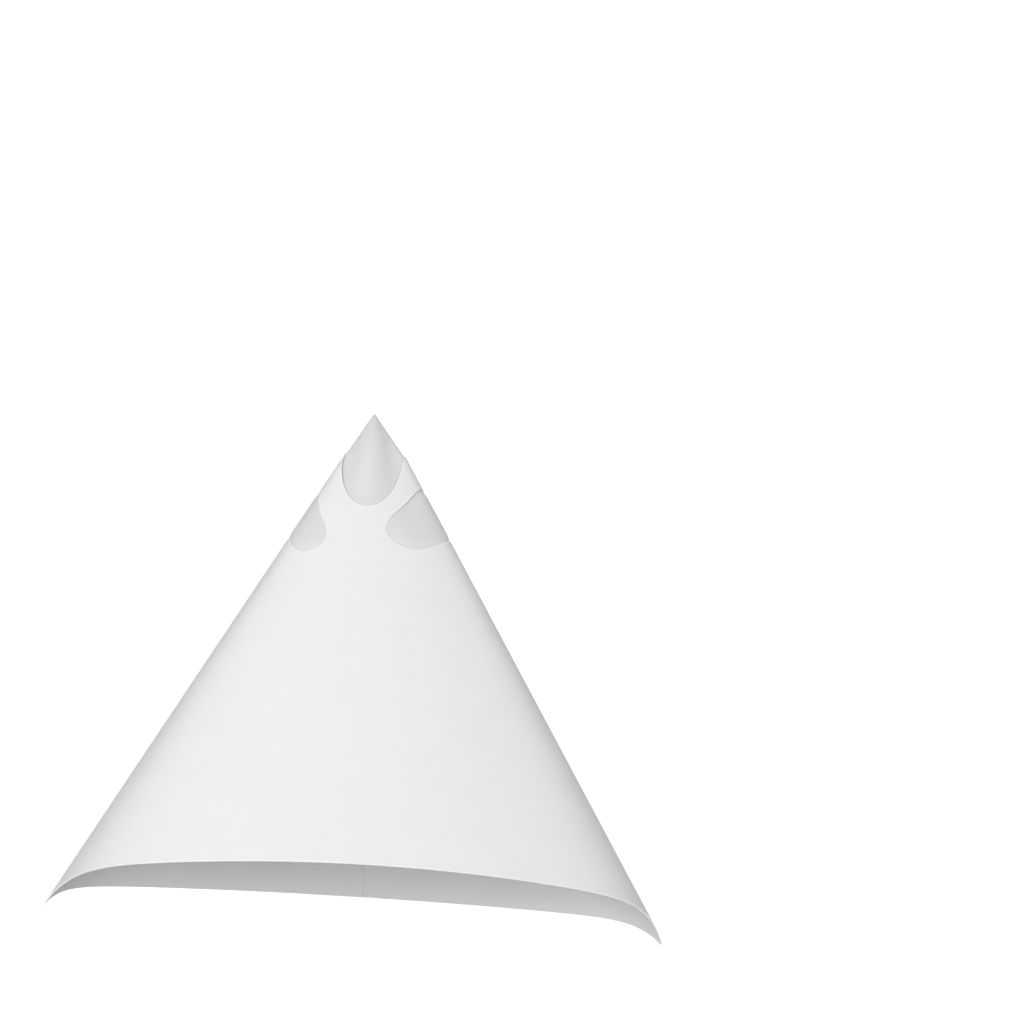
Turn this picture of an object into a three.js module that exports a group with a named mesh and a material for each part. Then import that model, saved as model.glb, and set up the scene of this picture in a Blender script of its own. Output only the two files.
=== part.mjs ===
import * as THREE from 'three';

// Paint strainer: a die-cut paper sheet folded into a two-sided cone, lapped and glued up the
// middle of its back, with a fine mesh cone glued inside its tip. Millimetres, +Z up, tip up.

// The folded sheet
const CREASE_LENGTH = 185; // from the point where both creases would meet to each lower corner
const PANEL_ANGLE = 72; // flat angle of each of the two panels, in degrees
const PAPER_THICKNESS = 0.3;
const LAP_ANGLE = 4.5; // the glued lap, about 11 mm wide at the rim
const LAP_EASE_ANGLE = 5; // over this much on each side the sheet eases back to its own face
const LAP_EDGE_ANGLE = 0.12; // the slope of the lap's two cut edges

// How the opened panels bend, as curvature at unit distance from the point
const MIDDLE_BEND = 0.684;
const SIDE_BEND = 7.4;
const SIDE_BEND_FROM_CREASE = 5.3; // degrees from the crease to the tightest part of the side bend
const SIDE_BEND_WIDTH = 4.87; // degrees

// The windows, with distances measured along the sheet from its point
const TIP_LOBE_PEAK = 33.9; // the tip window's deepest cut, near the middle of each panel
const TIP_LOBE_NECK = 17.9; // and its shallowest, at the creases
const TIP_LOBE_SHIFT = -5.5; // degrees from the middle of the panel to the peak
const TIP_LOBE_FALL = [1.6, 2.6]; // how steeply the cut's edge falls on its left and its right
const PETALS = [
  { side: 1, fromCrease: 6, reach: 25.3, slant: 38.5, bow: 2.6, halfWidth: 9.1 },
  { side: -1, fromCrease: 1, reach: 16.6, slant: 41.2, bow: 5.5, halfWidth: 8.9 },
];

// The mesh cone
const MESH_THICKNESS = 0.15;
const MESH_LENGTH = 61; // from the sheet's point to the mesh's lower edge
const MESH_TIP_DROP = 2.9; // the uncreased mesh closes this far below the sheet's point
const GLUE_GAP = 0.15;

// How finely the surfaces are divided
const STATION_STEP = 1.5; // degrees between generators
const STATION_MIN = 0.35; // no two generators are closer than this, apart from the needed ones
const PETAL_STATIONS = 26; // generators across each petal, closer together at its ends
const BEND_STEPS = 160; // steps from the middle of a panel to a crease

const HALF_PANEL = PANEL_ANGLE / 2;
const SEAM = PANEL_ANGLE; // the sheet's angle at the middle of the back, counted from the front's
const LAP_START = SEAM - LAP_ANGLE / 2;
const LAP_END = SEAM + LAP_ANGLE / 2;
const SHEET_START = LAP_END + LAP_EDGE_ANGLE - 2 * PANEL_ANGLE;
const RIM_DISTANCE = CREASE_LENGTH * Math.cos(THREE.MathUtils.degToRad(HALF_PANEL));
const MESH_DEPTH = 1.5 * PAPER_THICKNESS + GLUE_GAP; // clear of the lap's inner layer

/** Curvature of a panel at an angle from its middle, both in radians. */
function bendAt(angle) {
  const place = THREE.MathUtils.degToRad(HALF_PANEL - SIDE_BEND_FROM_CREASE);
  const spread = (angle - place) / THREE.MathUtils.degToRad(SIDE_BEND_WIDTH);
  return MIDDLE_BEND + SIDE_BEND * Math.exp(-spread * spread);
}

/**
 * The generator of the front panel at an angle in degrees from its middle, and its outward normal.
 * The panel's middle leans out by `lean`, and the sheet is rolled from there without stretching.
 */
function rollPanel(angle, lean) {
  const ray = new THREE.Vector3(0, -Math.sin(lean), -Math.cos(lean));
  const across = new THREE.Vector3(1, 0, 0);
  const normal = new THREE.Vector3().crossVectors(ray, across);
  const turn = new THREE.Vector3();
  const reach = THREE.MathUtils.degToRad(Math.abs(angle));
  const steps = Math.max(1, Math.ceil((BEND_STEPS * Math.abs(angle)) / HALF_PANEL));
  for (let i = 0; i < steps; i++) {
    const bend = bendAt(((i + 0.5) * reach) / steps);
    turn.copy(normal).addScaledVector(ray, -bend);
    const amount = (turn.length() * reach) / steps;
    turn.normalize();
    ray.applyAxisAngle(turn, amount);
    across.applyAxisAngle(turn, amount);
    normal.crossVectors(ray, across);
  }
  if (angle < 0) {
    ray.x = -ray.x;
    normal.x = -normal.x;
  }
  return { ray, normal };
}

/** The lean of a panel's middle that brings its creases into the plane between the two panels. */
function findPanelLean() {
  let low = 0;
  let high = THREE.MathUtils.degToRad(85);
  for (let i = 0; i < 48; i++) {
    const middle = (low + high) / 2;
    if (rollPanel(HALF_PANEL, middle).ray.y > 0) {
      low = middle;
    } else {
      high = middle;
    }
  }
  return (low + high) / 2;
}

const PANEL_LEAN = findPanelLean();

/** Generator and inward offset at an angle round the sheet, 0 at the front's middle. */
function generatorAt(angle) {
  const onFront = Math.abs(angle) <= HALF_PANEL;
  const local = onFront ? angle : Math.sign(angle) * PANEL_ANGLE - angle;
  const { ray, normal } = rollPanel(local, PANEL_LEAN);
  if (!onFront) {
    ray.y = -ray.y;
    normal.y = -normal.y;
  }
  const inward = normal.clone().negate();
  if (Math.abs(Math.abs(angle) - HALF_PANEL) < 1e-9) {
    // At a crease the offset is mitred between the two panels
    inward.set(-normal.x, 0, -normal.z).divideScalar(normal.x * normal.x + normal.z * normal.z);
  }
  return { ray, inward };
}

/** Distance from the point to the tip window's edge. */
function tipEdge(angle) {
  const local = angle - PANEL_ANGLE * Math.round(angle / PANEL_ANGLE);
  const side = local < TIP_LOBE_SHIFT ? 0 : 1;
  const toCrease = HALF_PANEL + (side === 0 ? TIP_LOBE_SHIFT : -TIP_LOBE_SHIFT);
  const share = Math.min(1, Math.abs(local - TIP_LOBE_SHIFT) / toCrease);
  const height = (1 - share * share) ** TIP_LOBE_FALL[side];
  return TIP_LOBE_NECK + (TIP_LOBE_PEAK - TIP_LOBE_NECK) * height;
}

/** Distance from the point to the straight-cut rim. */
function rimEdge(angle) {
  const local = angle - PANEL_ANGLE * Math.round(angle / PANEL_ANGLE);
  return RIM_DISTANCE / Math.cos(THREE.MathUtils.degToRad(local));
}

function petalMiddle(petal) {
  return petal.side * (HALF_PANEL - petal.fromCrease);
}

/** Near and far edge of the petal window at an angle, the same distance twice where there is none. */
function petalEdges(angle) {
  for (const petal of PETALS) {
    const across = (angle - petalMiddle(petal)) / petal.reach;
    if (Math.abs(across) < 1 + 1e-9) {
      const square = Math.min(1, across * across);
      const centre = petal.slant + petal.bow * 4 * square * (1 - square);
      const half = petal.halfWidth * Math.sqrt(1 - square);
      return [centre - half, centre + half];
    }
  }
  return [PETALS[0].slant, PETALS[0].slant];
}

/** The angles of all generators: the needed ones, the petals' own and an even fill. */
function stationAngles() {
  const kept = [SHEET_START, LAP_START, LAP_START - LAP_EDGE_ANGLE, LAP_END];
  kept.push(LAP_START - LAP_EASE_ANGLE, SHEET_START + LAP_EASE_ANGLE, -HALF_PANEL, HALF_PANEL);
  const wanted = [];
  for (const petal of PETALS) {
    const middle = petalMiddle(petal);
    kept.push(middle - petal.reach, middle + petal.reach);
    for (let i = 1; i < PETAL_STATIONS; i++) {
      wanted.push(middle + petal.reach * Math.cos((Math.PI * i) / PETAL_STATIONS));
    }
  }
  for (let angle = SHEET_START; angle < LAP_END; angle += STATION_STEP) {
    wanted.push(angle);
  }
  for (const angle of wanted) {
    if (kept.every((other) => Math.abs(other - angle) >= STATION_MIN)) {
      kept.push(angle);
    }
  }
  return kept.sort((a, b) => a - b);
}

/** Depth of the sheet's outer and inner face below its nominal face, beside and on the lap. */
function sheetDepths(angle) {
  const { smoothstep } = THREE.MathUtils;
  const under = 1 - smoothstep(angle, SHEET_START, SHEET_START + LAP_EASE_ANGLE);
  const over = smoothstep(angle, LAP_START - LAP_EASE_ANGLE, LAP_START - LAP_EDGE_ANGLE);
  const outer = ((under - over) * PAPER_THICKNESS) / 2;
  const layers = angle < LAP_START ? 1 : 2;
  return { outer, inner: outer + layers * PAPER_THICKNESS };
}

/** All generators in order round the sheet, each with the distances and depths of its cuts. */
function makeStations() {
  return stationAngles().map((angle) => {
    const [near, far] = petalEdges(angle);
    const cuts = { tip: tipEdge(angle), near, far, rim: rimEdge(angle) };
    return { ...generatorAt(angle), ...sheetDepths(angle), ...cuts };
  });
}

/** The point at a distance along a station's generator and a depth below the nominal face. */
function pointOn(station, distance, depth) {
  return station.ray.clone().multiplyScalar(distance).addScaledVector(station.inward, depth);
}

/** Collects quads, given anticlockwise from outside, and leaves out triangles without area. */
class ClosedSurface {
  constructor() {
    this.positions = [];
  }

  triangle(a, b, c) {
    const ab = new THREE.Vector3().subVectors(b, a);
    const ac = new THREE.Vector3().subVectors(c, a);
    if (ab.cross(ac).length() > 1e-7) {
      this.positions.push(a.x, a.y, a.z, b.x, b.y, b.z, c.x, c.y, c.z);
    }
  }

  quad(a, b, c, d) {
    this.triangle(a, b, c);
    this.triangle(a, c, d);
  }

  geometry() {
    const geometry = new THREE.BufferGeometry();
    geometry.setAttribute('position', new THREE.Float32BufferAttribute(this.positions, 3));
    geometry.computeVertexNormals();
    return geometry;
  }
}

/** The folded paper sheet, one closed solid with its windows cut through. */
function makePaperCone(stations) {
  const surface = new ClosedSurface();
  const rings = stations.map((station) => {
    const levels = [station.tip, station.near, station.far, station.rim];
    return {
      open: station.far - station.near > 1e-6,
      outer: levels.map((distance) => pointOn(station, distance, station.outer)),
      inner: levels.map((distance) => pointOn(station, distance, station.inner)),
    };
  });
  for (let i = 0; i < rings.length; i++) {
    const a = rings[i];
    const b = rings[(i + 1) % rings.length];
    for (const level of [0, 2]) {
      surface.quad(a.outer[level], a.outer[level + 1], b.outer[level + 1], b.outer[level]);
      surface.quad(a.inner[level], b.inner[level], b.inner[level + 1], a.inner[level + 1]);
    }
    surface.quad(a.outer[3], a.inner[3], b.inner[3], b.outer[3]);
    surface.quad(a.outer[0], b.outer[0], b.inner[0], a.inner[0]);
    if (a.open || b.open) {
      surface.quad(a.outer[1], a.inner[1], b.inner[1], b.outer[1]);
      surface.quad(a.outer[2], b.outer[2], b.inner[2], a.inner[2]);
    }
  }
  return surface.geometry();
}

/** The mesh cone: it lies against the paper up to the tip window and closes to a point above it. */
function makeMeshFilter(stations) {
  const surface = new ClosedSurface();
  const slope = Math.sin(Math.acos(-stations[0].ray.z));
  const outerTip = new THREE.Vector3(0, 0, -MESH_TIP_DROP);
  const innerTip = new THREE.Vector3(0, 0, -MESH_TIP_DROP - MESH_THICKNESS / slope);
  const rings = stations.map((station) => {
    const levels = [station.tip, MESH_LENGTH];
    const innerDepth = MESH_DEPTH + MESH_THICKNESS;
    return {
      outer: levels.map((distance) => pointOn(station, distance, MESH_DEPTH)),
      inner: levels.map((distance) => pointOn(station, distance, innerDepth)),
    };
  });
  for (let i = 0; i < rings.length; i++) {
    const a = rings[i];
    const b = rings[(i + 1) % rings.length];
    surface.triangle(outerTip, a.outer[0], b.outer[0]);
    surface.triangle(innerTip, b.inner[0], a.inner[0]);
    surface.quad(a.outer[0], a.outer[1], b.outer[1], b.outer[0]);
    surface.quad(a.inner[0], b.inner[0], b.inner[1], a.inner[1]);
    surface.quad(a.outer[1], a.inner[1], b.inner[1], b.outer[1]);
  }
  return surface.geometry();
}

/** How far the strainer leans back when both corners and the middle of the back rim touch down. */
function restingLean() {
  const corner = generatorAt(HALF_PANEL).ray.multiplyScalar(CREASE_LENGTH);
  const back = generatorAt(SEAM).ray.multiplyScalar(RIM_DISTANCE);
  return Math.atan2(back.z - corner.z, back.y);
}

const paperMaterial = new THREE.MeshStandardMaterial({
  color: 0xececeb,
  roughness: 0.78,
  metalness: 0,
});
const meshMaterial = new THREE.MeshStandardMaterial({
  color: 0xcfd0d1,
  roughness: 0.6,
  metalness: 0,
});

const stations = makeStations();

const paperCone = new THREE.Mesh(makePaperCone(stations), paperMaterial);
paperCone.name = 'paper_cone';

const meshFilter = new THREE.Mesh(makeMeshFilter(stations), meshMaterial);
meshFilter.name = 'mesh_filter';

// The cone stands on its two corners and its back rim, with the bottom centre at the origin
const folded = new THREE.Group();
folded.add(paperCone, meshFilter);
folded.rotation.x = -restingLean();

const strainer = new THREE.Group();
strainer.add(folded);
strainer.updateMatrixWorld(true);
const box = new THREE.Box3().setFromObject(strainer, true);
folded.position.set(-(box.min.x + box.max.x) / 2, -(box.min.y + box.max.y) / 2, -box.min.z);

export default strainer;
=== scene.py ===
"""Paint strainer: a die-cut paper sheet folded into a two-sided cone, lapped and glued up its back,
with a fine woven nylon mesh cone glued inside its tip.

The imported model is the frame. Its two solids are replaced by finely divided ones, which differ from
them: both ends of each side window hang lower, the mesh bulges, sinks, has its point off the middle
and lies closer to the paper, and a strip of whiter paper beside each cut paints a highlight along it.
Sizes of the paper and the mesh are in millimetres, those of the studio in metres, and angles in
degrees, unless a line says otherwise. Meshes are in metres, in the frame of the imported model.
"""

import logging
import math
from dataclasses import dataclass, field
from enum import Enum
from functools import cached_property
from itertools import accumulate
from typing import Any

import bmesh
import bpy
import numpy as np
from mathutils import Matrix, Vector

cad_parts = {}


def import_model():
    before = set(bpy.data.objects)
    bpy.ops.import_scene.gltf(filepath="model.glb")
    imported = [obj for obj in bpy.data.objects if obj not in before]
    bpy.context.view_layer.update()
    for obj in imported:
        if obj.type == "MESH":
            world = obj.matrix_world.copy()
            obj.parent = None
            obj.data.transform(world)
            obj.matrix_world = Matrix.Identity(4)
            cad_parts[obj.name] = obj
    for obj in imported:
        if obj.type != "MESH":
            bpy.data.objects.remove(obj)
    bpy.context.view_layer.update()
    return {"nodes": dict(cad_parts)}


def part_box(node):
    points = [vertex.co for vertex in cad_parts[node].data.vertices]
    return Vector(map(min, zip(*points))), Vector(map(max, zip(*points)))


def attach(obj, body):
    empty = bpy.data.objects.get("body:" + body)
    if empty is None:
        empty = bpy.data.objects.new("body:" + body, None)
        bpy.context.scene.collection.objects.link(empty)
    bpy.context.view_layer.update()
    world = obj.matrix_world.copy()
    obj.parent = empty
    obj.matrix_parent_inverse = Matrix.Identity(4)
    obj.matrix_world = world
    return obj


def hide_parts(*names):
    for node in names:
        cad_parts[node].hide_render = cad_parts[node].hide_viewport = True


Array = np.ndarray
LOG = logging.getLogger("paint_strainer")
MM = 0.001
# Angles or shares that differ by less are the same.
ROUNDING = 1e-9
# A side window wider than this is open.
OPEN_MM = 1e-6
# Vertices closer than this are merged, and edges shorter than a share of it are dropped.
WELD_METRES = 2e-6
DROP_SHARE = 0.25
# Place of the painted highlight beside the cuts in the paper's list of materials.
PAINTED_HIGHLIGHT = 1
# Brings t(1 - t) squared, which peaks at 4/27, to a peak of 1.
BULGE_TO_ONE = 27.0 / 4.0
# The wave texture turns by this angle for each unit of its coordinate.
WAVE_RADIANS_PER_UNIT = 20.0


class Face(Enum):
    """The two faces of a sheet."""

    OUTER = "outer"
    INNER = "inner"


def smoothstep(values: Array, low: float, high: float) -> Array:
    """Ease from 0 at low to 1 at high, as 3t squared minus 2t cubed."""
    t = np.clip((values - low) / (high - low), 0.0, 1.0)
    return t * t * (3.0 - 2.0 * t)


def srgb(code: str, alpha: float = 1.0) -> tuple[float, float, float, float]:
    """Turn an sRGB hex colour into linear red, green, blue and alpha.

    Args:
        code: six hex digits.
        alpha: opacity to append.

    Returns:
        The linear colour.
    """
    parts = [int(code[i : i + 2], 16) / 255.0 for i in (0, 2, 4)]
    linear = [c / 12.92 if c <= 0.04045 else ((c + 0.055) / 1.055) ** 2.4 for c in parts]
    return (*linear, alpha)


@dataclass(frozen=True)
class RolledPanel:
    """One flat panel of the sheet, rolled about the cone's point without stretching.

    On the unit sphere round the point the panel is a curve whose arc length is the flat angle. Its
    geodesic curvature is a gentle bend in the middle plus a bell-shaped tighter bend near each
    crease. The middle's lean is the one that brings both ends into the plane of the creases.
    """

    angle: float = 72.0
    middle_bend: float = 0.684
    side_bend: float = 7.4
    side_bend_from_crease: float = 5.3
    side_bend_width: float = 4.87
    steps: int = 720
    widest_lean: float = 85.0
    halvings: int = 32

    @property
    def half(self) -> float:
        """Flat angle from the middle to a crease."""
        return self.angle / 2.0

    def roll(self, lean: float) -> Array:
        """Frames along the half panel, each with the generator, the way across and the normal.

        In the moving frame a step turns about the normal by the step's angle and about the
        generator by minus the curvature times it, so the frames are running products of small
        turns that depend only on the curvature.

        Args:
            lean: angle in radians by which the middle generator leans out of the crease plane.

        Returns:
            An array of (steps + 1) 3 by 3 matrices whose columns are the three directions.
        """
        step = math.radians(self.half) / self.steps
        places = np.degrees((np.arange(self.steps) + 0.5) * step)
        spread = (places - (self.half - self.side_bend_from_crease)) / self.side_bend_width
        bend = self.middle_bend + self.side_bend * np.exp(-(spread**2))
        zero, one = np.zeros_like(bend), np.ones_like(bend)
        axis = np.stack([-bend, zero, one], axis=1)
        size = np.linalg.norm(axis, axis=1, keepdims=True)
        x, y, z = (axis / size).T
        cross = np.stack([zero, -z, y, z, zero, -x, -y, x, zero], axis=1).reshape(-1, 3, 3)
        turn = (size * step)[:, :, None]
        turns = np.eye(3) + np.sin(turn) * cross + (1.0 - np.cos(turn)) * (cross @ cross)
        ray = np.array([0.0, -math.sin(lean), -math.cos(lean)])
        across = np.array([1.0, 0.0, 0.0])
        start = np.stack([ray, across, np.cross(ray, across)], axis=1)
        return np.array(list(accumulate(turns, np.matmul, initial=start)))

    @cached_property
    def frames(self) -> Array:
        """Frames of the half panel whose crease lies in the plane between the two panels.

        The lean is found by halving, from the sign of y at the crease's generator.

        Returns:
            The frames, as roll gives them.
        """
        low, high = 0.0, math.radians(self.widest_lean)
        for _ in range(self.halvings):
            middle = (low + high) / 2.0
            if self.roll(middle)[-1, 1, 0] > 0.0:
                low = middle
            else:
                high = middle
        return self.roll((low + high) / 2.0)

    def at(self, local: Array) -> tuple[Array, Array]:
        """Generators and outward normals of the front panel.

        Args:
            local: flat angles from the panel's middle.

        Returns:
            Two arrays of unit vectors, with the shape of local and a last axis of 3.
        """
        grid = np.linspace(0.0, self.half, self.steps + 1)
        flip = np.where(local < 0.0, -1.0, 1.0)
        found = []
        for column in (0, 2):
            parts = [np.interp(np.abs(local), grid, self.frames[:, k, column]) for k in range(3)]
            parts[0] = parts[0] * flip
            found.append(np.stack(parts, axis=-1))
        return found[0], found[1]


@dataclass(frozen=True)
class Petal:
    """A side window: an ellipse in flat polar coordinates whose two ends hang away from the tip."""

    side: int
    from_crease: float
    reach: float
    slant: float
    bow: float
    half_width: float
    full_hang: float = 0.72

    def middle(self, panel: RolledPanel) -> float:
        """Angle of the window's middle from the middle of the front panel."""
        return self.side * (panel.half - self.from_crease)

    def centre(self, t: Array) -> Array:
        """Distance to the middle line, which falls by a sine squared and then keeps its level.

        Args:
            t: angle from the window's middle as a share of its reach.

        Returns:
            Distances from the sheet's point.
        """
        hang = np.sin(np.pi / 2.0 * np.minimum(np.abs(t) / self.full_hang, 1.0)) ** 2
        return self.slant + self.bow * hang


@dataclass(frozen=True)
class Blank:
    """The die-cut blank: its folds, its lap and the outline of every cut.

    Angles run round the sheet from the middle of the front panel, and distances run along the
    sheet from the point where the creases would meet.
    """

    panel: RolledPanel = field(default_factory=RolledPanel)
    crease_length: float = 185.0
    thickness: float = 0.3
    lap_angle: float = 4.5
    lap_ease: float = 5.0
    lap_edge: float = 0.12
    tip_peak: float = 33.9
    tip_neck: float = 17.9
    tip_shift: float = -5.5
    tip_fall: tuple[float, float] = (1.6, 2.6)
    petals: tuple[Petal, ...] = (
        Petal(side=1, from_crease=6.0, reach=25.3, slant=38.5, bow=2.6, half_width=9.1),
        Petal(side=-1, from_crease=1.0, reach=16.6, slant=41.2, bow=5.5, half_width=8.9),
    )
    clear_of_needed: float = 0.12
    least_step: float = 0.06

    @property
    def lap_start(self) -> float:
        """Angle at which the lap's inner layer begins."""
        return self.panel.angle - self.lap_angle / 2.0

    @property
    def lap_end(self) -> float:
        """Angle at which the lap's outer layer ends."""
        return self.panel.angle + self.lap_angle / 2.0

    @property
    def start(self) -> float:
        """Angle just past the outer layer's cut edge, one turn back."""
        return self.lap_end + self.lap_edge - 2.0 * self.panel.angle

    def local(self, angles: Array) -> Array:
        """Angles counted from the middle of the panel that each lies on."""
        return angles - self.panel.angle * np.round(angles / self.panel.angle)

    def tip_cut(self, angles: Array) -> Array:
        """Distance to the tip window's edge: one lobe on each panel, (1 - t squared) to a power.

        Args:
            angles: angles round the sheet.

        Returns:
            The distance at each angle.
        """
        offset = self.local(angles) - self.tip_shift
        left = offset < 0.0
        span = np.where(left, self.panel.half + self.tip_shift, self.panel.half - self.tip_shift)
        share = np.clip(np.abs(offset) / span, 0.0, 1.0)
        height = (1.0 - share**2) ** np.where(left, *self.tip_fall)
        return self.tip_neck + (self.tip_peak - self.tip_neck) * height

    def rim_cut(self, angles: Array) -> Array:
        """Distance to the straight-cut rim: the panel's height over the cosine of the angle."""
        height = self.crease_length * math.cos(math.radians(self.panel.half))
        return height / np.cos(np.radians(self.local(angles)))

    def petal_cuts(self, angles: Array) -> tuple[Array, Array]:
        """Edges of the side windows: a middle line less and plus half an ellipse's width.

        Args:
            angles: angles round the sheet.

        Returns:
            Distance to the near and the far edge at each angle, equal where there is no window.
        """
        near = np.full_like(angles, self.petals[0].slant)
        far = near.copy()
        for petal in self.petals:
            t = (angles - petal.middle(self.panel)) / petal.reach
            inside = np.abs(t) < 1.0 + ROUNDING
            square = np.clip(t**2, 0.0, 1.0)
            centre = petal.centre(t)
            half = petal.half_width * np.sqrt(1.0 - square)
            near = np.where(inside, centre - half, near)
            far = np.where(inside, centre + half, far)
        return near, far

    def petal_share(self, angles: Array, distance: Array) -> Array:
        """How far inside a side window each point lies: 0 at its edge and beyond, 1 in its middle.

        Args:
            angles: angle of each column.
            distance: rows by columns of distances from the sheet's point.

        Returns:
            Rows by columns of shares.
        """
        share = np.zeros_like(distance)
        for petal in self.petals:
            t = (angles - petal.middle(self.panel)) / petal.reach
            across = (distance - petal.centre(t)[None]) / petal.half_width
            share = np.maximum(share, 1.0 - t[None] ** 2 - across**2)
        return share

    def depths(self, angles: Array) -> tuple[Array, Array]:
        """Depths of both faces below the nominal one.

        Towards the lap one side of the sheet eases half a thickness inwards and the other as much
        outwards, and on the lap the solid is two layers thick.

        Args:
            angles: angles round the sheet.

        Returns:
            Depth of the outer and of the inner face at each angle.
        """
        under = 1.0 - smoothstep(angles, self.start, self.start + self.lap_ease)
        over = smoothstep(angles, self.lap_start - self.lap_ease, self.lap_start - self.lap_edge)
        outer = (under - over) * self.thickness / 2.0
        layers = np.where(angles < self.lap_start, 1.0, 2.0)
        return outer, outer + layers * self.thickness

    def stations(self, step: float, petal_count: int) -> Array:
        """Angles of all generators: the needed ones, the petals' own and an even fill.

        Args:
            step: spacing of the even fill.
            petal_count: how many generators cross each petal, closer together at its ends.

        Returns:
            The sorted angles.
        """
        needed = [self.start, self.lap_start, self.lap_start - self.lap_edge, self.lap_end]
        needed += [-self.panel.half, self.panel.half]
        wanted = [np.arange(self.start, self.lap_end, step)]
        for petal in self.petals:
            middle = petal.middle(self.panel)
            needed += [middle - petal.reach, middle + petal.reach]
            turns = np.pi * np.arange(1, petal_count) / petal_count
            wanted.append(middle + petal.reach * np.cos(turns))
        kept = np.array(needed)
        fill = np.concatenate(wanted)
        clear = np.abs(fill[:, None] - kept[None, :]).min(axis=1) > self.clear_of_needed
        fill = np.sort(fill[clear])
        fill = fill[np.concatenate([[True], np.diff(fill) > self.least_step])]
        return np.sort(np.concatenate([kept, fill]))

    def generators(self, angles: Array) -> tuple[Array, Array]:
        """Generators and inward offsets round the sheet, mitred between the panels at a crease.

        Args:
            angles: angles round the sheet.

        Returns:
            Unit generators, and the offset that moves each face 1 mm inwards.
        """
        turns = np.round(angles / self.panel.angle)
        front = np.abs(angles) <= self.panel.half + ROUNDING
        local = np.where(front, angles, turns * self.panel.angle - angles)
        ray, normal = self.panel.at(local)
        side = np.where(front, 1.0, -1.0)
        ray = ray * np.stack([np.ones_like(side), side, np.ones_like(side)], axis=-1)
        normal = normal * np.stack([np.ones_like(side), side, np.ones_like(side)], axis=-1)
        inward = -normal
        crease = np.abs(np.abs(angles) - self.panel.half) < ROUNDING
        flat = normal[..., 0] ** 2 + normal[..., 2] ** 2
        mitre = np.stack([-normal[..., 0], np.zeros_like(flat), -normal[..., 2]], axis=-1)
        inward = np.where(crease[..., None], mitre / flat[..., None], inward)
        return ray, inward

    def resting_lean(self) -> float:
        """Find the lean at which both corners and the middle of the back rim touch down.

        Returns:
            The lean in radians.
        """
        angles = np.array([self.panel.half, self.panel.angle])
        rays, _ = self.generators(angles)
        corner, back = rays * self.rim_cut(angles)[:, None]
        return math.atan2(back[2] - corner[2], back[1])


@dataclass(frozen=True)
class Stance:
    """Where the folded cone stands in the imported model's frame."""

    blank: Blank
    station_step: float = 0.5
    petal_stations: int = 20

    @cached_property
    def turn(self) -> Array:
        """Rotation that leans the cone back on to its corners and its back rim.

        Returns:
            A 3 by 3 matrix.
        """
        lean = self.blank.resting_lean()
        c, s = math.cos(lean), math.sin(lean)
        return np.array([[1.0, 0.0, 0.0], [0.0, c, s], [0.0, -s, c]])

    @cached_property
    def apex(self) -> Array:
        """The sheet's point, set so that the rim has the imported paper's middle, front and bottom.

        Returns:
            The point in metres.
        """
        low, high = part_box("paper_cone")
        angles = self.blank.stations(self.station_step, self.petal_stations)
        rays, inward = self.blank.generators(angles)
        rim = self.blank.rim_cut(angles)
        points = []
        for depth in self.blank.depths(angles):
            points.append(rays * rim[:, None] + inward * depth[:, None])
        cloud = np.concatenate(points) @ self.turn.T * MM
        shift = np.array([(low.x + high.x) / 2.0, low.y, low.z])
        centre = (cloud[:, 0].min() + cloud[:, 0].max()) / 2.0
        return shift - np.array([centre, cloud[:, 1].min(), cloud[:, 2].min()])

    def place(self, points: Array) -> Array:
        """Points in millimetres from the sheet's point, moved to the frame in metres."""
        return points @ self.turn.T * MM + self.apex


@dataclass
class Patchwork:
    """Collects grids of points as quads with flat UVs, and makes one welded mesh of them."""

    name: str
    points: list[Array] = field(default_factory=list)
    flats: list[Array] = field(default_factory=list)
    quads: list[Array] = field(default_factory=list)
    finishes: list[Array] = field(default_factory=list)
    count: int = 0

    def grid(self, points: Array, flat: Array, keep: Array | None = None,
             finish: Array | int = 0) -> None:
        """Add a grid of quads.

        Args:
            points: rows by columns by 3 points, with columns turning anticlockwise from rows.
            flat: rows by columns by 2 coordinates of the same points on the flat blank.
            keep: which of the (rows - 1) by (columns - 1) quads to keep, or all.
            finish: material number of all quads, or of each.
        """
        rows, columns = points.shape[:2]
        index = self.count + np.arange(rows * columns).reshape(rows, columns)
        cells = np.stack([index[:-1, :-1], index[1:, :-1], index[1:, 1:], index[:-1, 1:]], -1)
        numbers = np.broadcast_to(finish, cells.shape[:2])
        if keep is not None:
            cells, numbers = cells[keep], numbers[keep]
        self.points.append(points.reshape(-1, 3))
        self.flats.append(flat.reshape(-1, 2))
        self.quads.append(cells.reshape(-1, 4))
        self.finishes.append(numbers.ravel())
        self.count += rows * columns

    def build(self, sharp: float) -> bpy.types.Object:
        """Make the object: weld, mark edges past an angle as sharp and shade the rest smooth.

        Args:
            sharp: edge angle in degrees past which shading breaks.

        Returns:
            The new object, at the origin.
        """
        quads = np.concatenate(self.quads)
        mesh = bpy.data.meshes.new(self.name)
        mesh.from_pydata(np.concatenate(self.points), [], quads)
        numbers = np.concatenate(self.finishes).astype(np.int32)
        mesh.polygons.foreach_set("material_index", numbers)
        layer = mesh.uv_layers.new(name="flat_blank")
        layer.data.foreach_set("uv", np.concatenate(self.flats)[quads.ravel()].ravel())
        piece = bpy.data.objects.new(self.name, mesh)
        bpy.context.scene.collection.objects.link(piece)
        weld(piece, WELD_METRES)
        mesh.shade_smooth()
        mesh.set_sharp_from_angle(angle=math.radians(sharp))
        return piece


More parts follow.
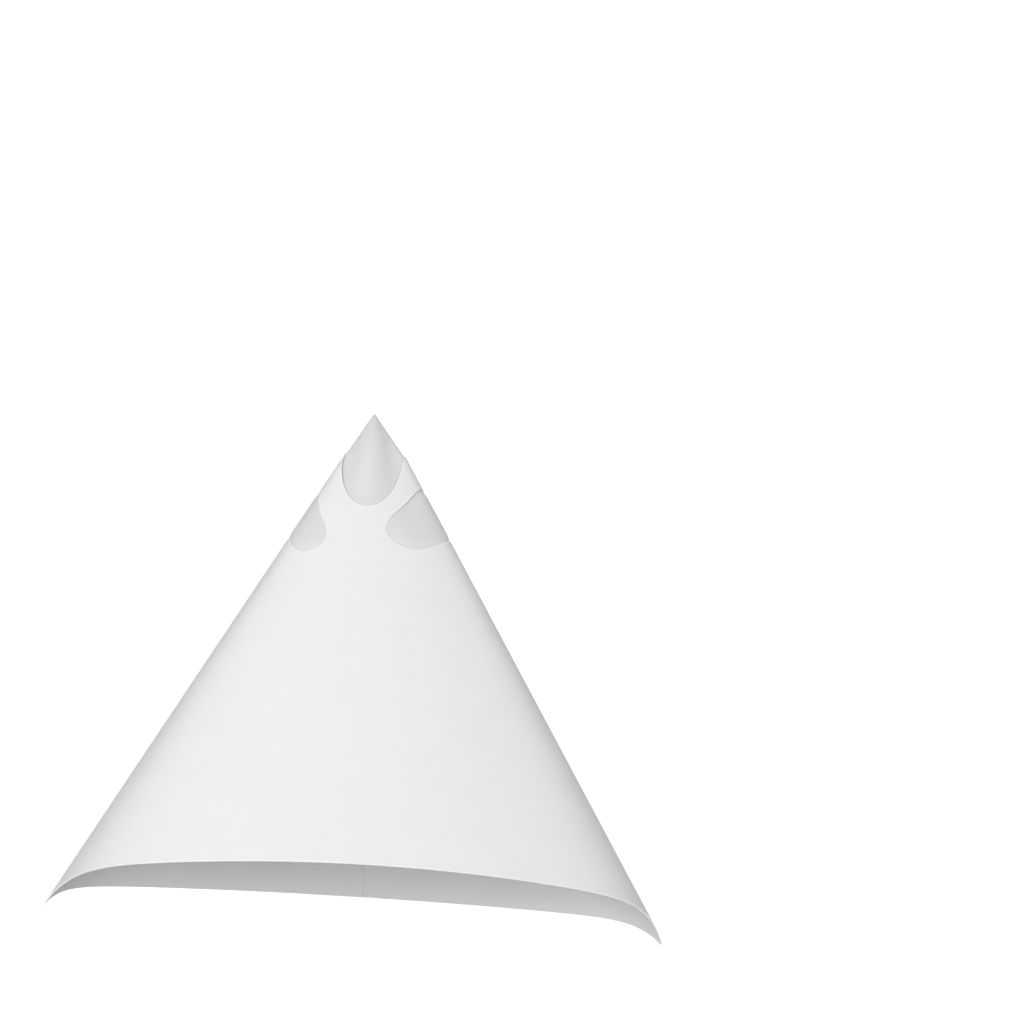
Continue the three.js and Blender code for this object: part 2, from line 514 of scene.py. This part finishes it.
def weld(piece: bpy.types.Object, distance: float) -> None:
    """Merge vertices closer than a distance and drop faces without area.

    Args:
        piece: the mesh object.
        distance: merge distance in metres.
    """
    work = bmesh.new()
    work.from_mesh(piece.data)
    bmesh.ops.remove_doubles(work, verts=work.verts, dist=distance)
    bmesh.ops.dissolve_degenerate(work, dist=distance * DROP_SHARE, edges=work.edges)
    work.to_mesh(piece.data)
    work.free()


def add_node(tree: bpy.types.NodeTree, kind: str, settings: dict[str, Any] | None = None,
             links: dict[str, Any] | None = None) -> bpy.types.Node:
    """Add a shader node with its settings and incoming links.

    Args:
        tree: node tree to add to.
        kind: node class name.
        settings: values by node attribute, or by input name where the node has no such attribute.
        links: output sockets by the name or number of the input that each feeds.

    Returns:
        The new node.
    """
    node = tree.nodes.new(kind)
    for key, value in (settings or {}).items():
        if isinstance(key, str) and hasattr(node, key):
            setattr(node, key, value)
        else:
            node.inputs[key].default_value = value
    for key, socket in (links or {}).items():
        tree.links.new(socket, node.inputs[key])
    return node


def new_material(name: str) -> tuple[bpy.types.Material, bpy.types.NodeTree]:
    """Make an empty node material.

    Args:
        name: material name.

    Returns:
        The material and its cleared node tree.
    """
    material = bpy.data.materials.new(name)
    material.use_nodes = True
    material.node_tree.nodes.clear()
    return material, material.node_tree


@dataclass(frozen=True)
class CoatedPaper:
    """Coated paper, die-cut: it gives the eye a smooth matt white, very faintly cloudy."""

    light: str = "F4F4F4"
    shade: str = "F0F0F0"
    cloud_mm: float = 7.0
    cloud_detail: float = 5.0
    cloud_roughness: float = 0.6
    fibre_mm: float = 0.35
    fibre_detail: float = 3.0
    fibre_twist: float = 0.6
    roughness: tuple[float, float] = (0.62, 0.74)
    bump_mm: float = 0.012
    bump_strength: float = 0.35
    ior: float = 1.45
    specular: float = 0.3

    def material(self) -> bpy.types.Material:
        """Build the material: clouds vary the tone, fine fibres the relief and the roughness.

        Returns:
            The material.
        """
        material, tree = new_material("paper_coated_die_cut")
        where = add_node(tree, "ShaderNodeTexCoord").outputs["Object"]
        cloud = add_node(tree, "ShaderNodeTexNoise",
                         {"Scale": 1.0 / (self.cloud_mm * MM), "Detail": self.cloud_detail,
                          "Roughness": self.cloud_roughness},
                         {"Vector": where})
        fibre = add_node(tree, "ShaderNodeTexNoise",
                         {"Scale": 1.0 / (self.fibre_mm * MM), "Detail": self.fibre_detail,
                          "Distortion": self.fibre_twist},
                         {"Vector": where})
        tone = add_node(tree, "ShaderNodeMix",
                        {"data_type": "RGBA", "A": srgb(self.light), "B": srgb(self.shade)},
                        {"Factor": cloud.outputs["Fac"]})
        rough = add_node(tree, "ShaderNodeMapRange",
                         {"To Min": self.roughness[0], "To Max": self.roughness[1]},
                         {"Value": fibre.outputs["Fac"]})
        bump = add_node(tree, "ShaderNodeBump",
                        {"Strength": self.bump_strength, "Distance": self.bump_mm * MM},
                        {"Height": fibre.outputs["Fac"]})
        shader = add_node(tree, "ShaderNodeBsdfPrincipled",
                          {"IOR": self.ior, "Specular IOR Level": self.specular},
                          {"Base Color": tone.outputs["Result"],
                           "Roughness": rough.outputs["Result"],
                           "Normal": bump.outputs["Normal"]})
        add_node(tree, "ShaderNodeOutputMaterial", links={"Surface": shader.outputs["BSDF"]})
        return material


@dataclass(frozen=True)
class CutEdgePaintedHighlight:
    """Painted highlight along each cut and on the cut walls: it gives the eye a thin, fully matt,
    whiter outline.
    """

    light: str = "FFFFFF"
    shade: str = "FAFAFA"
    fibre_mm: float = 0.2
    fibre_detail: float = 2.0
    roughness: float = 0.9

    def material(self) -> bpy.types.Material:
        """Build the material: loose fibre varies its white a little along the cut.

        Returns:
            The material.
        """
        # A whiter material that paints a highlight along the cuts.
        material, tree = new_material("paper_cut_edge_painted_highlight")
        where = add_node(tree, "ShaderNodeTexCoord").outputs["Object"]
        fibre = add_node(tree, "ShaderNodeTexNoise",
                         {"Scale": 1.0 / (self.fibre_mm * MM), "Detail": self.fibre_detail},
                         {"Vector": where})
        tone = add_node(tree, "ShaderNodeMix",
                        {"data_type": "RGBA", "A": srgb(self.light), "B": srgb(self.shade)},
                        {"Factor": fibre.outputs["Fac"]})
        shader = add_node(tree, "ShaderNodeBsdfPrincipled", {"Roughness": self.roughness},
                          {"Base Color": tone.outputs["Result"]})
        add_node(tree, "ShaderNodeOutputMaterial", links={"Surface": shader.outputs["BSDF"]})
        return material


@dataclass(frozen=True)
class NylonMesh:
    """Woven nylon monofilament: it gives the eye a smooth pale grey, slightly see-through.

    The real threads are taken to lie 0.3 mm apart, which is a guess and too fine to show, so they
    are drawn 0.6 mm apart.
    """

    light: str = "EBEBEC"
    shade: str = "E3E3E4"
    pitch_mm: float = 0.6
    alpha: float = 0.93
    roughness: float = 0.42
    ior: float = 1.5
    bump_mm: float = 0.05
    bump_strength: float = 0.2

    def material(self) -> bpy.types.Material:
        """Build the material: two crossed sets of threads along the flat blank's own axes.

        Returns:
            The material.
        """
        material, tree = new_material("nylon_mesh_woven")
        flat = add_node(tree, "ShaderNodeUVMap", {"uv_map": "flat_blank"}).outputs["UV"]
        per_metre = 2.0 * math.pi / (WAVE_RADIANS_PER_UNIT * self.pitch_mm * MM)
        threads = [
            add_node(tree, "ShaderNodeTexWave",
                     {"bands_direction": direction, "Scale": per_metre}, {"Vector": flat})
            for direction in ("X", "Y")
        ]
        weave = add_node(tree, "ShaderNodeMath", {"operation": "MAXIMUM"},
                         {0: threads[0].outputs["Fac"], 1: threads[1].outputs["Fac"]})
        tone = add_node(tree, "ShaderNodeMix",
                        {"data_type": "RGBA", "A": srgb(self.shade), "B": srgb(self.light)},
                        {"Factor": weave.outputs["Value"]})
        bump = add_node(tree, "ShaderNodeBump",
                        {"Strength": self.bump_strength, "Distance": self.bump_mm * MM},
                        {"Height": weave.outputs["Value"]})
        shader = add_node(tree, "ShaderNodeBsdfPrincipled",
                          {"Roughness": self.roughness, "IOR": self.ior, "Alpha": self.alpha},
                          {"Base Color": tone.outputs["Result"],
                           "Normal": bump.outputs["Normal"]})
        add_node(tree, "ShaderNodeOutputMaterial", links={"Surface": shader.outputs["BSDF"]})
        return material


@dataclass
class PaperCone:
    """The folded paper sheet with its windows and its glued lap."""

    blank: Blank
    stance: Stance
    finish: CoatedPaper = field(default_factory=CoatedPaper)
    # The whiter material beside and on the cuts paints a highlight along them.
    cut_highlight: CutEdgePaintedHighlight = field(default_factory=CutEdgePaintedHighlight)
    cut_width: float = 0.33
    cut_stretch: float = 4.0
    cut_band_share: float = 1.0 / 3.0
    station_step: float = 0.5
    petal_stations: int = 72
    tip_rows: int = 10
    rim_rows: int = 36
    sharp_past: float = 25.0

    def margin(self, angles: Array, edge: Array, band: Array) -> Array:
        """Width along each generator that the strip of painted highlight beside a cut takes.

        The strip is of even width across the cut, so along the generator it is wider by the root
        of 1 plus the square of the cut's slope. It is kept narrower than that where the cut is
        steeper than cut_stretch allows, or where it would take over a third of the band.

        Args:
            angles: angle of each column.
            edge: distance to the cut at each angle.
            band: width of the sheet between this cut and the next at each angle.

        Returns:
            The strip's width at each angle.
        """
        slope = np.gradient(edge[:-1], np.radians(angles[:-1])) / edge[:-1]
        slope = np.append(slope, slope[0])
        width = self.cut_width * np.minimum(np.sqrt(1.0 + slope**2), self.cut_stretch)
        return np.minimum(width, band * self.cut_band_share)

    def rows(self, angles: Array, low: Array, high: Array, count: int) -> Array:
        """Distances from low to high: a narrow strip at each end and even steps between.

        Args:
            angles: angle of each column.
            low: distance to the nearer edge at each angle.
            high: distance to the farther edge at each angle.
            count: number of rows between the strips, counting the strips' inner edges.

        Returns:
            Rows by columns of distances.
        """
        start = low + self.margin(angles, low, high - low)
        end = high - self.margin(angles, high, high - low)
        t = np.linspace(0.0, 1.0, count)[:, None]
        return np.concatenate([low[None], start * (1.0 - t) + end * t, high[None]])

    def surface(self, angles: Array, distance: Array, face: Face) -> Array:
        """Points of one face: distance times the generator plus depth times the inward offset.

        Args:
            angles: angle of each column.
            distance: rows by columns of distances from the sheet's point.
            face: which face.

        Returns:
            Rows by columns by 3 points in the frame, in metres.
        """
        ray, inward = self.blank.generators(angles)
        outer, inner = self.blank.depths(angles)
        depth = outer if face is Face.OUTER else inner
        points = distance[:, :, None] * ray[None] + (depth[:, None] * inward)[None]
        return self.stance.place(points)

    def flat(self, angles: Array, distance: Array) -> Array:
        """The same points on the flat blank in metres: polar coordinates unrolled."""
        turn = np.radians(angles)[None, :]
        return np.stack([distance * np.sin(turn), -distance * np.cos(turn)], axis=-1) * MM

    def build(self) -> bpy.types.Object:
        """Build both faces in two bands, either side of the petals, and every cut edge.

        Returns:
            The sheet, one closed solid.
        """
        blank = self.blank
        angles = blank.stations(self.station_step, self.petal_stations)
        angles = np.append(angles, angles[0])
        near, far = blank.petal_cuts(angles)
        tip, rim = blank.tip_cut(angles), blank.rim_cut(angles)
        opening = far - near > OPEN_MM
        cut = (opening[:-1] | opening[1:])[None, :]
        everywhere = np.ones_like(cut)
        work = Patchwork("paper_cone_sheet")
        for low, high, count, at_low, at_high in (
            (tip, near, self.tip_rows, everywhere, cut), (far, rim, self.rim_rows, cut, everywhere),
        ):
            distance = self.rows(angles, low, high, count)
            flat = self.flat(angles, distance)
            coated = np.zeros((count - 1, len(angles) - 1), dtype=bool)
            # Cells next to a cut take the whiter material, a painted highlight along the cut.
            highlight_cells = np.concatenate([at_low, coated, at_high])
            work.grid(self.surface(angles, distance, Face.OUTER), flat, finish=highlight_cells)
            work.grid(self.surface(angles, distance, Face.INNER)[::-1], flat[::-1])
        for edge, upper, keep in (
            (tip, True, everywhere), (near, False, cut), (far, True, cut), (rim, False, everywhere),
        ):
            distance = np.stack([edge, edge])
            sides = [
                self.surface(angles, distance[:1], face)[0]
                for face in ((Face.INNER, Face.OUTER) if upper else (Face.OUTER, Face.INNER))
            ]
            # The cut walls take the whiter material too, a painted highlight.
            work.grid(np.stack(sides), self.flat(angles, distance), keep, finish=PAINTED_HIGHLIGHT)
        piece = work.build(sharp=self.sharp_past)
        for finish in (self.finish, self.cut_highlight):
            piece.data.materials.append(finish.material())
        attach(piece, "root")
        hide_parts("paper_cone")
        return piece


@dataclass
class MeshFilter:
    """The mesh cone, inside the paper up to the tip window and closed to a point above it."""

    blank: Blank
    stance: Stance
    finish: NylonMesh = field(default_factory=NylonMesh)
    thickness: float = 0.15
    length: float = 61.0
    tip_drop: float = 2.9
    tip_aside: float = -0.8
    glue_gap: float = 0.04
    bulge: float = 1.5
    bulge_spread: float = 0.75
    sink: float = 0.9
    sink_reach: float = 45.0
    petal_bulge: float = 0.45
    petal_bulge_full: float = 0.5
    station_step: float = 0.75
    petal_stations: int = 8
    rows: int = 40
    tip_start: float = 0.02
    sharp_past: float = 40.0

    def side(self, angles: Array, below: float, drop: float) -> tuple[Array, Array]:
        """One face: from the mesh's own tip to the window's edge, then along the paper.

        The cloth is rounder than the paper. In the tip window it bulges out by t(1 - t) squared.
        At the window's flanks it sinks in by 4w(1 - w), where w grows with how far the window
        reaches at that angle, times a sine squared along the generator. In the side windows it
        swells by a smooth step of how far inside the window a point lies.

        Args:
            angles: angle of each column.
            below: depth below the paper's inner face where the cloth lies along it.
            drop: how far the face's tip is below the sheet's point.

        Returns:
            Rows by columns by 3 points, and the flat coordinates of the same points.
        """
        blank = self.blank
        ray, inward = blank.generators(angles)
        inward = inward * (blank.depths(angles)[1] + below)[:, None]
        outward = -inward / np.linalg.norm(inward, axis=1, keepdims=True)
        edge = blank.tip_cut(angles)
        at_edge = ray * edge[:, None] + inward
        apex = np.array([self.tip_aside, 0.0, -drop])
        t = np.linspace(self.tip_start, 1.0, self.rows)[:, None, None]
        open_share = (edge - blank.tip_neck) / (blank.tip_peak - blank.tip_neck)
        open_share = open_share**self.bulge_spread
        push = self.bulge * BULGE_TO_ONE * t * (1.0 - t) ** 2 * open_share[None, :, None]
        above = apex + (at_edge[None] - apex) * t + outward[None] * push
        t = np.linspace(0.0, 1.0, self.rows)[1:, None]
        distance = edge[None] * (1.0 - t) + self.length * t
        along = distance[:, :, None] * ray[None] + inward[None]
        points = np.concatenate([np.broadcast_to(apex, above[:1].shape), above, along])
        reach = np.concatenate([np.zeros((1, len(angles))),
                                np.linspace(self.tip_start, 1.0, self.rows)[:, None] * edge,
                                distance])
        flank = 4.0 * open_share * (1.0 - open_share)
        sunk = np.sin(np.pi * np.clip(reach / self.sink_reach, 0.0, 1.0)) ** 2 * flank[None]
        swell = smoothstep(blank.petal_share(angles, reach), 0.0, self.petal_bulge_full)
        points = points + outward[None] * (swell * self.petal_bulge - sunk * self.sink)[:, :, None]
        turn = np.radians(angles)[None, :]
        flat = np.stack([reach * np.sin(turn), -reach * np.cos(turn)], axis=-1) * MM
        return self.stance.place(points), flat

    def build(self) -> bpy.types.Object:
        """Build the two faces and the lower cut edge.

        Returns:
            The mesh cone, one closed solid.
        """
        angles = self.blank.stations(self.station_step, self.petal_stations)
        angles = np.append(angles, angles[0])
        slope = math.sqrt(1.0 - float(self.blank.generators(angles[:1])[0][0, 2]) ** 2)
        outer, flat = self.side(angles, self.glue_gap, self.tip_drop)
        inner, _ = self.side(angles, self.glue_gap + self.thickness,
                             self.tip_drop + self.thickness / slope)
        work = Patchwork("mesh_filter_cloth")
        work.grid(outer, flat)
        work.grid(inner[::-1], flat[::-1])
        work.grid(np.stack([outer[-1], inner[-1]]), np.stack([flat[-1], flat[-1]]))
        piece = work.build(sharp=self.sharp_past)
        piece.data.materials.append(self.finish.material())
        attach(piece, "root")
        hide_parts("mesh_filter")
        return piece


@dataclass(frozen=True)
class Lamp:
    """A soft square lamp aimed at the object: place and size in metres, power in watts."""

    name: str
    place: tuple[float, float, float]
    size: float
    power: float

    def build(self, target: Vector) -> None:
        """Place the lamp and turn it to a point.

        Args:
            target: the point in metres.
        """
        data = bpy.data.lights.new(self.name, "AREA")
        data.size = self.size
        data.energy = self.power
        lamp = bpy.data.objects.new(self.name, data)
        lamp.location = self.place
        lamp.rotation_euler = (target - lamp.location).to_track_quat("-Z", "Y").to_euler()
        bpy.context.scene.collection.objects.link(lamp)


@dataclass
class Studio:
    """White floor and surroundings, soft lamps and the camera.

    The sensor is in millimetres and the picture in pixels. The roll leans upright things to the
    right in the picture.
    """

    stance: Stance
    image_size: float = 1024.0
    apex_pixel: tuple[float, float] = (377.7, 404.3)
    azimuth: float = -6.55
    elevation: float = 11.5
    roll: float = 5.05
    distance: float = 3.138
    pixels_per_metre: float = 3308.3
    sensor: float = 36.0
    dome: float = 0.34
    floor_colour: str = "FAFAFA"
    floor_glow: float = 0.75
    floor_half: float = 12.0
    aim_height: float = 0.07
    clip: tuple[float, float] = (0.1, 50.0)
    lamps: tuple[Lamp, ...] = (
        Lamp("key_lamp", place=(-0.9, -2.45, 1.0), size=1.5, power=40.0),
        Lamp("low_lamp", place=(0.0, -2.6, 0.5), size=1.4, power=10.0),
        Lamp("back_lamp", place=(0.7, 2.6, 1.3), size=1.5, power=16.0),
    )

    def camera(self) -> None:
        """Aim a long lens so that the sheet's point falls on its pixel of the photograph."""
        a, e = math.radians(self.azimuth), math.radians(self.elevation)
        forward = Vector((-math.sin(a) * math.cos(e), math.cos(a) * math.cos(e), -math.sin(e)))
        right = forward.cross(Vector((0.0, 0.0, 1.0))).normalized()
        up = right.cross(forward)
        turn = Matrix.Rotation(math.radians(-self.roll), 3, forward)
        right, up = turn @ right, turn @ up
        data = bpy.data.cameras.new("camera")
        data.sensor_width = self.sensor
        data.lens = self.pixels_per_metre * self.distance / self.image_size * self.sensor
        data.clip_start, data.clip_end = self.clip
        camera = bpy.data.objects.new("camera", data)
        half = self.image_size / 2.0
        across = (self.apex_pixel[0] - half) / self.pixels_per_metre
        down = (self.apex_pixel[1] - half) / self.pixels_per_metre
        place = Vector(self.stance.apex) - right * across + up * down - forward * self.distance
        axes = Matrix((right, up, -forward)).transposed()
        camera.matrix_world = Matrix.Translation(place) @ axes.to_4x4()
        bpy.context.scene.collection.objects.link(camera)
        bpy.context.scene.camera = camera

    def white_to_camera(self, tree: bpy.types.NodeTree) -> Any:
        """Tell the rays that see the surroundings as white from those that light the object.

        Args:
            tree: node tree to add to.

        Returns:
            A socket that gives 1 for rays from the camera or off a mirror or glass, and else 0.
        """
        path = add_node(tree, "ShaderNodeLightPath")
        either = add_node(tree, "ShaderNodeMath", {"operation": "MAXIMUM"},
                          {0: path.outputs["Is Camera Ray"], 1: path.outputs["Is Glossy Ray"]})
        return add_node(tree, "ShaderNodeMath", {"operation": "MAXIMUM"},
                        {0: either.outputs["Value"],
                         1: path.outputs["Is Transmission Ray"]}).outputs["Value"]

    def world(self) -> None:
        """Dim even light from everywhere, which the camera itself sees as white."""
        world = bpy.data.worlds.new("studio_world")
        bpy.context.scene.world = world
        world.use_nodes = True
        tree = world.node_tree
        tree.nodes.clear()
        level = add_node(tree, "ShaderNodeMapRange", {"To Min": self.dome, "To Max": 1.0},
                         {"Value": self.white_to_camera(tree)})
        back = add_node(tree, "ShaderNodeBackground", {"Color": (1.0, 1.0, 1.0, 1.0)},
                        {"Strength": level.outputs["Result"]})
        add_node(tree, "ShaderNodeOutputWorld", links={"Surface": back.outputs["Background"]})

    def floor(self) -> None:
        """A wide matt floor, made whiter by a glow for the rays that see the studio as white."""
        half = self.floor_half
        corners = [(-half, -half, 0.0), (half, -half, 0.0), (half, half, 0.0), (-half, half, 0.0)]
        mesh = bpy.data.meshes.new("floor")
        mesh.from_pydata(corners, [], [(0, 1, 2, 3)])
        floor = bpy.data.objects.new("floor", mesh)
        bpy.context.scene.collection.objects.link(floor)
        material, tree = new_material("floor_matt_white")
        matt = add_node(tree, "ShaderNodeBsdfDiffuse", {"Color": srgb(self.floor_colour)})
        glow = add_node(tree, "ShaderNodeMath", {"operation": "MULTIPLY", 1: self.floor_glow},
                        {0: self.white_to_camera(tree)})
        light = add_node(tree, "ShaderNodeEmission", {"Color": (1.0, 1.0, 1.0, 1.0)},
                         {"Strength": glow.outputs["Value"]})
        both = add_node(tree, "ShaderNodeAddShader", None,
                        {0: matt.outputs["BSDF"], 1: light.outputs["Emission"]})
        add_node(tree, "ShaderNodeOutputMaterial", links={"Surface": both.outputs["Shader"]})
        mesh.materials.append(material)

    def build(self) -> None:
        """Make the floor, the world, the lamps and the camera."""
        bpy.context.scene.view_settings.view_transform = "Standard"
        self.floor()
        self.world()
        for lamp in self.lamps:
            lamp.build(Vector((0.0, 0.0, self.aim_height)))
        self.camera()


def main() -> None:
    """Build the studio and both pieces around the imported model."""
    logging.basicConfig(level=logging.INFO, format="%(name)s: %(message)s")
    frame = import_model()
    LOG.info("frame: %d nodes", len(frame["nodes"]))
    blank = Blank()
    stance = Stance(blank)
    Studio(stance).build()
    for part in (PaperCone(blank, stance), MeshFilter(blank, stance)):
        piece = part.build()
        LOG.info("%s: %d faces", piece.name, len(piece.data.polygons))


if __name__ == "__main__":
    main()
